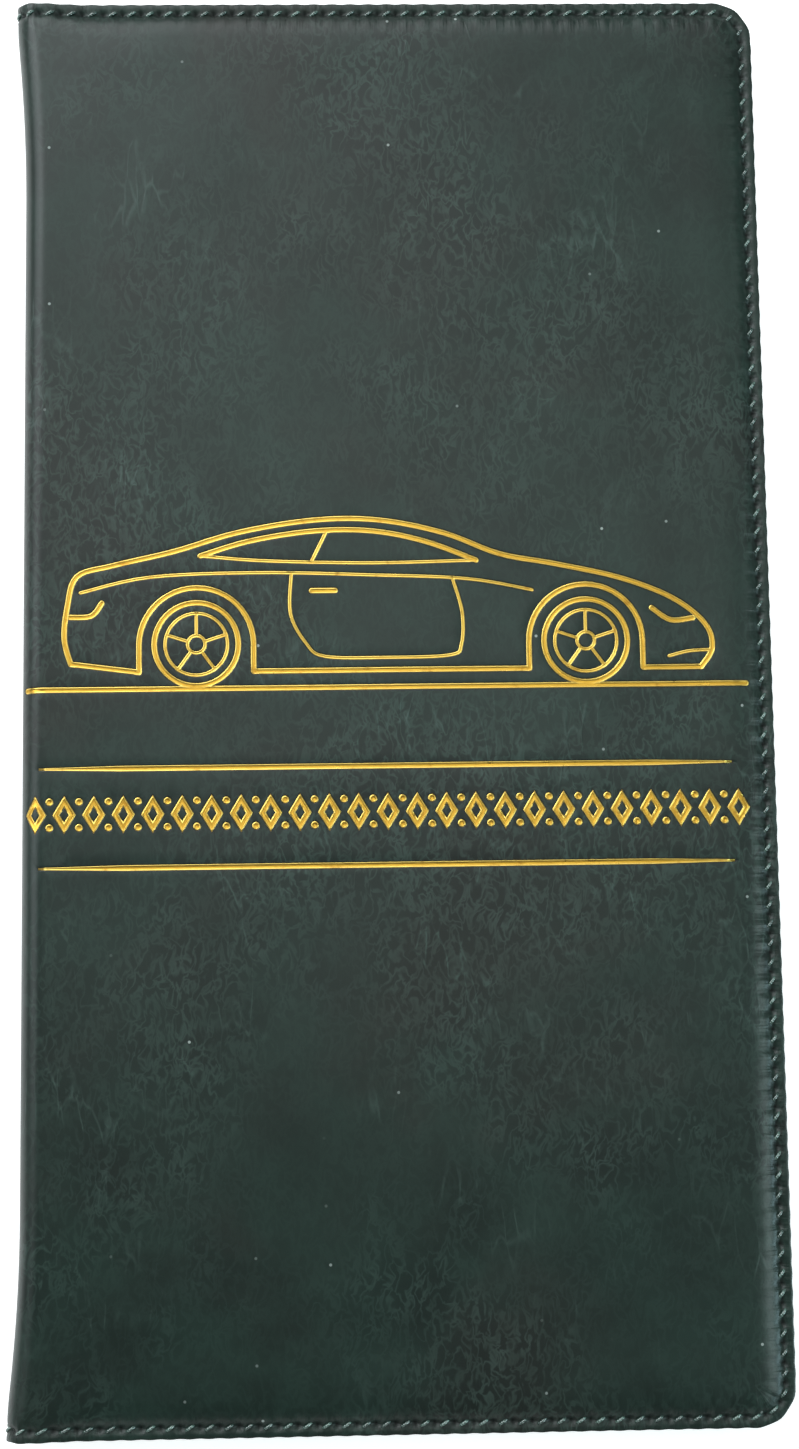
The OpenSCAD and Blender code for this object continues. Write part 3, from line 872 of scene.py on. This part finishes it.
def leather_material():
    """Dark green imitation leather: crinkles, long pale creases, brown wax patches and dust. The pale
    colour on the raised crinkles is partly painted highlight, and painted shade darkens the low parts
    between crinkles, the needle holes and the leather just beside each stamped line.
    """
    g = Graph("green_leather")
    at = g.attribute("developed")
    hole, line, run, inset = (g.attribute(key, "Fac") for key in ("hole", "line", "run", "inset"))
    beside_seam = g.node("CombineXYZ", X=run, Y=inset).outputs[0]
    gathers = g.times(g.noise(g.stretched(beside_seam, (1, 0.1, 1)), 1000, 2.0),
                      g.span(inset, 0.0015, 0.008, 1.0, 0.0))
    bent = g.warped(at, 130, 0.0036)
    wander = g.noise(g.stretched(bent, (1, 0.55, 1), LEAN), 640, 2.0, 0.55, 0.5)
    pit = g.span(g.math("ABSOLUTE", g.math("SUBTRACT", wander, 0.5)), 0.0, 0.11)
    grain = g.noise(at, 2600, 3)
    patch = g.noise(at, 17, 4, 0.55, 0.6)
    marked = g.span(g.noise(at, 17, 4, 0.6), 0.40, 0.62, 0.18, 1.0)
    drift = g.noise(g.stretched(g.warped(at, 40, 0.01), (1, 0.5, 1), LEAN), 210, 4, 0.6)
    flow = g.span(drift, 0.36, 0.66, 0.45, 1.0)
    broken = g.span(g.noise(at, 95, 3, 0.6), 0.44, 0.64)
    long_where = g.times(g.span(g.noise(at, 13, 4, 0.65), 0.40, 0.62),
                         g.span(g.noise(at, 42, 3, 0.6), 0.38, 0.60))
    fold = g.cells(g.warped(g.stretched(at, (1, 0.3, 1), -20), 170, 0.005), 310, "DISTANCE_TO_EDGE")
    veins = g.times(g.span(fold, 0.0, 0.075, 0.75, 0.0), g.times(long_where, broken))
    ridge_highlight = g.times(g.math("SUBTRACT", 1.0, pit), g.times(flow, marked))
    creases = g.math("ADD", veins, g.times(ridge_highlight, 0.5), True)
    tone = g.span(g.noise(at, 60, 4, 0.6), 0.3, 0.7)
    base = g.mix(tone, rgb(16, 32, 26), rgb(25, 45, 38))
    base = g.mix(g.span(patch, 0.44, 0.66, 0.0, 0.75), base, rgb(31, 33, 28))
    # Partly painted highlight: the raised crinkle ridges are paler, along with the leather's own long pale
    # creases.
    base = g.mix(g.times(creases, 0.6), base, rgb(75, 95, 88))
    # Painted shade: the low parts between the raised crinkles are darkened to near black where the grain is
    # marked.
    base = g.mix(g.times(pit, g.times(marked, 0.5)), base, rgb(4, 14, 11))
    speck = g.node("TexVoronoi", {"voronoi_dimensions": "2D"}, Vector=at, Scale=85.0)
    speck_tone = g.node("SeparateColor", Color=speck.outputs["Color"]).outputs[0]
    dust = g.times(g.span(speck_tone, 0.84, 1.0), g.span(speck.outputs["Distance"], 0.014, 0.026, 1.0, 0.0))
    base = g.mix(g.times(dust, 0.85), base, rgb(168, 176, 172))
    # Painted shade: the needle holes are darkened to near black.
    base = g.mix(hole, base, rgb(5, 9, 8))
    # Painted shade: the leather just beside each stamped line is darkened to a dark brown edge.
    base = g.mix(g.times(g.span(line, -0.24, -0.04), 0.75), base, rgb(34, 24, 12))
    first = g.bump(pit, -0.34, 0.00014)
    second = g.bump(grain, 0.16, 0.00005, first)
    third = g.bump(g.math("ADD", g.times(veins, 0.2), gathers), 0.8, 0.00022, second)
    rough = g.math("ADD", g.span(patch, 0.3, 0.8, 0.34, 0.43), g.times(hole, 0.5))
    return g.finish(Base_Color=base, Roughness=rough, Normal=third, Specular_IOR_Level=0.46,
                    Sheen_Weight=0.03)


def foil_material():
    """Hot-stamped gold: paler at the edges of a line, where a highlight is painted, deeper and slightly
    rubbed in its middle.
    """
    g = Graph("gold_foil")
    at = g.attribute("developed")
    line = g.attribute("line", "Fac")
    worn = g.noise(at, 420, 4, 0.6)
    # Painted highlight: pale gold at the edges of a line, where the rims would catch the light, deeper gold
    # in its middle.
    base = g.mix(g.span(line, 0.05, 0.34), rgb(250, 214, 112), rgb(226, 172, 66))
    base = g.mix(g.span(worn, 0.56, 0.74, 0.0, 0.6), base, rgb(176, 120, 44))
    first = g.bump(g.noise(at, 900, 3, 0.6), 0.35, 0.0001)
    second = g.bump(g.noise(at, 2600, 2), 0.2, 0.00004, first)
    rough = g.span(worn, 0.3, 0.75, 0.27, 0.46)
    return g.finish(Metallic=1.0, Base_Color=base, Roughness=rough, Normal=second)


def thread_material():
    """Waxed green thread, two plies wound together."""
    g = Graph("waxed_thread")
    at = g.attribute("developed")
    tone = g.attribute("tone", "Fac")
    ply = g.node("TexWave", {"wave_type": "BANDS", "bands_direction": "DIAGONAL"},
                 Vector=at, Scale=900.0, Distortion=0.6)
    # Partly painted highlight: the thread is given a paler green than the leather's, standing in for the
    # glints on the waxed thread.
    base = g.mix(tone, rgb(60, 82, 75), rgb(96, 124, 114))
    base = g.mix(g.span(ply.outputs["Fac"], 0.2, 0.6, 0.55, 0.0), base, rgb(26, 40, 36))
    return g.finish(Specular_IOR_Level=1.0, Roughness=0.22, IOR=1.7,
                    Base_Color=base, Normal=g.bump(ply.outputs["Fac"], 0.5, 0.00008))


def object_at(g):
    return g.node("TexCoord").outputs["Object"]


def lining_material():
    """A close plain weave, almost black green."""
    g = Graph("woven_lining")
    at = g.attribute("developed")
    waves = []
    for direction in ("X", "Y"):
        w = g.node("TexWave", {"wave_type": "BANDS", "bands_direction": direction},
                   Vector=at, Scale=560.0, Distortion=0.25, Detail=1.0)
        waves.append(w.outputs["Fac"])
    weave = g.times(*waves)
    fibre = g.noise(at, 1800, 3)
    base = g.mix(g.span(weave, 0.1, 0.75), rgb(16, 22, 20), rgb(40, 50, 46))
    base = g.mix(g.span(g.noise(at, 45, 3), 0.4, 0.7, 0.0, 0.3), base, rgb(28, 34, 31))
    first = g.bump(weave, 0.5, 0.00014)
    second = g.bump(fibre, 0.2, 0.00004, first)
    return g.finish(Sheen_Weight=0.15, Roughness=0.86, Base_Color=base, Normal=second)


def pocket_material(name, shade=1.0):
    """Thin pebbled imitation leather, clouded, without creases."""
    g = Graph(name)
    at = g.attribute("developed")
    pebble = g.cells(g.warped(at, 120, 0.003), 1150, "SMOOTH_F1")
    cloud = g.noise(at, 28, 4, 0.55, 0.4)
    # shade scales the colours: above 1 it gives a lighter, lit copy of the same leather, a painted
    # highlight.
    a, b = (tuple(c * shade for c in colour[:3]) + (1,) for colour in (rgb(29, 43, 38), rgb(40, 56, 50)))
    base = g.mix(g.span(cloud, 0.35, 0.7), a, b)
    base = g.mix(g.span(pebble, 0.2, 0.6, 0.0, 0.35), base, rgb(18, 28, 25))
    first = g.bump(g.span(pebble, 0.1, 0.7, 1.0, 0.0), 0.32, 0.00014)
    second = g.bump(g.noise(at, 2500, 2), 0.15, 0.00004, first)
    return g.finish(Base_Color=base, Roughness=g.span(cloud, 0.3, 0.8, 0.44, 0.54), Normal=second,
                    Specular_IOR_Level=0.42)


def clear_material():
    """Clear flexible film, with a faint haze and ripple."""
    g = Graph("clear_film")
    at = g.attribute("developed")
    ripple = g.bump(g.noise(at, 34, 2, 0.4), 0.25, 0.0006)
    return g.finish(Base_Color=(0.93, 0.96, 0.95, 1), Transmission_Weight=1.0, IOR=1.12,
                    Roughness=g.span(g.noise(at, 60, 3), 0.3, 0.8, 0.04, 0.12), Normal=ripple)


def core_material(name, dark, light, scale, rough, metallic=0.0):
    """For the hidden foam, board and magnets: a mottled, grainy solid."""
    g = Graph(name)
    at = object_at(g)
    base = g.mix(g.span(g.noise(at, scale, 4, 0.6), 0.35, 0.65), dark, light)
    return g.finish(Base_Color=base, Roughness=rough, Metallic=metallic,
                    Normal=g.bump(g.cells(at, scale * 2), 0.4, 0.0002))


def dress(obj, material):
    obj.data.materials.clear()
    obj.data.materials.append(material)


# ---- build the outside

outer = leather_material()
gold = foil_material()
waxed = thread_material()
drawing = Drawing()

front_skin = leather("front_leather", True, ("front_skin", "spine_skin"), drawing)
leather("back_leather", False, ("back_skin",))

for name, inside, node in (("foil_car_line", drawing.car, "foil_car"),
                           ("foil_rule_lines", drawing.rules, "foil_rules"),
                           ("foil_border_lozenges", drawing.border, "foil_border")):
    foil(name, front_skin, inside, node)


def outer_seat(across, along):
    return padding(across, along) - THREAD_SINK


for front in (True, False):
    side = "front" if front else "back"
    stitches, nodes = rim_stitches(outer_seat), [f"{side}_stitching"]
    if front:
        stitches += [((MID_SPINE, end * (HEAD_Y - SEAM_INSET), -FOLD_DEPTH - THREAD_SINK), 0.0,
                      slant_at(SEAM_LENGTH)) for end in (1, -1)]
        nodes.append("spine_stitching")
    seam(f"{side}_seam_outside", stitches, partial(roll, front=front), nodes, not front, cover_of(front))


# ---- build the inside

cloth = lining_material()
pocket_look = ("green_pocket", pocket_material("pocket_leather"))
# Painted highlight: the hem's leather is the pocket leather made 15% lighter.
hem_look = ("green_pocket", pocket_material("hem_leather", 1.15))
film_look = ("clear_sheet", clear_material())

lining("front_lining_cloth", True, ("front_lining", "spine_lining"))
lining("back_lining_cloth", False, ("back_lining",))

INNER_STITCH = {"length": 2.2, "diameter": 0.4, "rise": 0.14, "sides": 6, "rings": 5}
WINDOW_W, WINDOW_L, WINDOW_R = 88.0, 217.0, 4.0
pocket_top = INNER_T + PANEL_T
window_top = INNER_T + CLEAR_T
frame_top = window_top + PANEL_T
window_mid = (MOUTH_X + FORE_X) / 2 + 0.5
pocket_shape = (MOUTH_X, FORE_X - PANEL_EDGE, -HEAD_Y + PANEL_EDGE, HEAD_Y - PANEL_EDGE,
                0.6, CORNER_R - PANEL_EDGE)
hem_shape = (MOUTH_X - HEM_OVER, MOUTH_X + HEM_W, pocket_shape[2], pocket_shape[3], 0.5, 0.4)
window_hole = (window_mid - WINDOW_W / 2, window_mid + WINDOW_W / 2,
               -WINDOW_L / 2, WINDOW_L / 2, WINDOW_R, WINDOW_R)


def run_of(start, end, height):
    """Stitches in a straight row, each leaning a little."""
    a, b = np.array(start), np.array(end)
    n = max(1, int(np.linalg.norm(b - a) / PITCH))
    heading = math.atan2(*(b - a)[::-1])
    return [((*(a + (b - a) * (i + 0.5) / n), height), heading, math.radians(INNER_SLANT), INNER_STITCH)
            for i in range(n)]


def inner_rim(top):
    """The cover's own seam, as it shows on the inside over lining, hem and panel."""
    def height(u, v):
        on_hem = np.where(u > MOUTH_X - HEM_OVER, top + HEM_T, lining_top(u))
        return np.where(u > MOUTH_X + HEM_W, top, on_hem) + GAP
    return [(at, heading, slant, INNER_STITCH) for at, heading, slant in rim_stitches(height)]


def inside_seam(name, rows, front, node):
    """Stitches on a panel, at heights over the cover's outer face."""
    piece = seam(name, rows, partial(lay, front=front), [node], front)
    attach(piece, cover_of(front))
    return piece


def turned_hem(pocket, short, top, front):
    """The hem along a long pocket's mouth, and its seam."""
    hem = panel(f"{pocket}_turned_hem", hem_shape, top - GAP, top + HEM_T, front, f"{pocket}_hem",
                hem_look, seams=(HEM_SEAM,))
    x, end = MOUTH_X + HEM_W - HEM_SEAM, HEAD_Y - 4
    rows = run_of((x, -end), (x, end), top + HEM_T)
    return hem, inside_seam(f"{short}_hem_seam", rows, front, f"{short}_hem_stitching")


slip = panel("slip_pocket_panel", pocket_shape, INNER_T, pocket_top, False, "slip_pocket", pocket_look,
             puff=0.12, seams=(SEAM_INSET - PANEL_EDGE,))
turned_hem("slip_pocket", "slip", pocket_top, False)

slots, below, slot_rows = [], None, []
for node in ("card_slot_lower", "card_slot_middle", "card_slot_upper"):
    low, high = node_box(node)
    shape = (low[0], high[0], low[1], high[1], 0.8, 0.8)
    bar = (low[0], high[0], high[1] - SLOT_HEM_W, high[1] + 0.15, 0.4, 0.4)
    slot = panel(f"{node}_panel", shape, low[2], high[2], False, node, pocket_look, puff=0.06,
                 seams=(PANEL_SEAM,))
    hem = panel(f"{node}_turned_hem", bar, high[2] - GAP, high[2] + HEM_T, False, "card_slot_hems",
                hem_look, seams=(0.9,))
    slots.append((slot, shape, hem))
    left, right, foot = low[0] + PANEL_SEAM, high[0] - PANEL_SEAM, low[1] + PANEL_SEAM
    start = foot + 1.5 if below is None else below + 0.5
    if below is None:
        slot_rows += run_of((left + 1, foot), (right - 1, foot), high[2] + GAP)
    for x in (left, right):
        slot_rows += run_of((x, start), (x, high[1] - SLOT_HEM_W - 0.5), high[2] + GAP)
    slot_rows += run_of((left, high[1] - 1.0), (right, high[1] - 1.0), high[2] + HEM_T)
    below = high[1]
slot_seams = inside_seam("card_slot_seams", slot_rows, False, "card_slot_stitching")

clear = panel("window_film", pocket_shape, INNER_T + GAP, window_top, True, "window_sheet", film_look,
              puff=0.1, spacing=5)
border = panel("window_border", pocket_shape, window_top, frame_top, True, "window_frame", pocket_look,
               hole=window_hole, seams=(SEAM_INSET - PANEL_EDGE, PANEL_SEAM))
window_hem = turned_hem("window", "window", frame_top, True)
reach_x, reach_y = WINDOW_W / 2 + PANEL_SEAM, WINDOW_L / 2 + PANEL_SEAM
window_rows = []
for side in (-1, 1):
    x, y = window_mid + side * reach_x, side * reach_y
    window_rows += run_of((x, -reach_y + 4), (x, reach_y - 4), frame_top + GAP)
    window_rows += run_of((window_mid - reach_x + 4, y), (window_mid + reach_x - 4, y), frame_top + GAP)
window_seam = inside_seam("window_seams", window_rows, True, "window_stitching")

for side, front, top in (("front", True, frame_top), ("back", False, pocket_top)):
    seam(f"{side}_seam_inside", inner_rim(top), partial(roll_in, front=front), [], front, cover_of(front))

# ---- hidden CAD pieces

foam = core_material("foam", rgb(150, 150, 146), rgb(190, 190, 186), 900, 0.95)
board = core_material("grey_board", rgb(112, 98, 76), rgb(140, 124, 98), 500, 0.9)
magnet = core_material("plated_magnet", rgb(168, 170, 172), rgb(196, 198, 200), 200, 0.3, 1.0)
for side in ("front", "back"):
    for node, material in (("foam", foam), ("board", board), ("magnets", magnet)):
        dress(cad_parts[f"{side}_{node}"], material)

# ---- floor, light, camera

def area_light(name, at, size, power, colour):
    light = bpy.data.lights.new(name, "AREA")
    light.shape = "RECTANGLE"
    light.size, light.size_y = size
    light.energy = power
    light.color = colour
    lamp = bpy.data.objects.new(name, light)
    lamp.location = at
    lamp.rotation_mode = "QUATERNION"
    lamp.rotation_quaternion = (Vector() - Vector(at)).to_track_quat("-Z", "Y")
    bpy.context.scene.collection.objects.link(lamp)


def make_floor(half=10.0):
    corners = [(-half, -half, 0), (half, -half, 0), (half, half, 0), (-half, half, 0)]
    mesh = bpy.data.meshes.new("floor")
    mesh.from_pydata(corners, [], [(0, 1, 2, 3)])
    floor = bpy.data.objects.new("floor", mesh)
    floor.location = (0, 0, -0.0002)
    bpy.context.scene.collection.objects.link(floor)
    g = Graph("pale_floor")
    pale = g.mix(g.noise(object_at(g), 30, 2), (0.90, 0.90, 0.90, 1), (0.93, 0.93, 0.93, 1))
    dress(floor, g.finish(Roughness=0.9, Specular_IOR_Level=0.1,
                          Emission_Color=(1, 1, 1, 1), Emission_Strength=0.6, Base_Color=pale))


def make_world():
    world = bpy.data.worlds.new("studio")
    bpy.context.scene.world = world
    world.use_nodes = True
    back = world.node_tree.nodes["Background"]
    back.inputs["Color"].default_value = (0.93, 0.96, 1.0, 1)
    back.inputs["Strength"].default_value = 0.13


make_floor()
make_world()
for light in (
        ("window", (-0.31, 0.78, 0.76), (0.95, 0.7), 6.5, (0.94, 0.98, 1.0)),
        ("ceiling", (0.0, 0.17, 1.0), (0.5, 0.5), 1.35, (0.88, 1.0, 0.95)),
        ("strip", (-0.80, 0.36, 0.70), (1.1, 0.62), 6.4, (0.9, 0.97, 1.0)),
        ("fill", (0.62, -0.24, 0.60), (0.40, 0.34), 1.8, (0.80, 1.0, 0.99)),
        ("side", (0.93, -0.40, 0.27), (0.50, 0.24), 2.5, (0.60, 0.92, 1.0)),
        ("corner", (0.55, 0.32, 0.78), (0.50, 0.40), 0.55, (0.88, 1.0, 0.97)),
        ("low", (-0.3, -0.98, 0.36), (0.9, 0.3), 0.7, (0.96, 1.0, 0.98))):
    area_light(*light)

camera = bpy.data.objects.new("camera", bpy.data.cameras.new("camera"))
camera.data.lens = 48.5
camera.data.sensor_width = 36
camera.data.clip_start = 0.01
camera.location = (-0.0077, -0.0399, 0.33925)
camera.rotation_euler = tuple(math.radians(a) for a in (5.97, -1.27, -0.79))
bpy.context.scene.collection.objects.link(camera)
bpy.context.scene.camera = camera
bpy.context.scene.view_settings.view_transform = "Standard"
